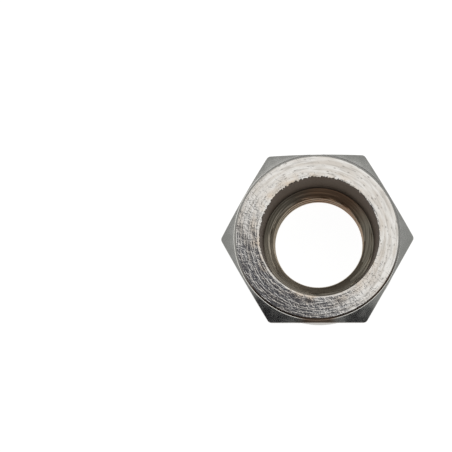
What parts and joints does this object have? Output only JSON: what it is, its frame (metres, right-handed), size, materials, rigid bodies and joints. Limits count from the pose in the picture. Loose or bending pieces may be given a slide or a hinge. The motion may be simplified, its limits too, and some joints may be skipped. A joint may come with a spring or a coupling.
{
  "type": "shear nut",
  "caption": "One-piece security nut: a hexagon head joined by a thin grooved neck to a threaded cone with a flat bearing face; the head shears off when tight.",
  "frame": {"origin": "centre of the bearing face, at the wide end of the cone, on the thread's axis", "axes": "+Z along the thread's axis from the bearing face to the hexagon head, +X through two opposite corners of the hexagon"},
  "size_m": [0.0208, 0.0186, 0.0139],
  "materials": {
    "nut_steel": "machined stainless steel, turned end face, bores and cone, as-drawn bar on the six flats"
  },
  "bodies": {
    "root": {"shear_nut": "nut_steel"}
  },
  "joints": []
}
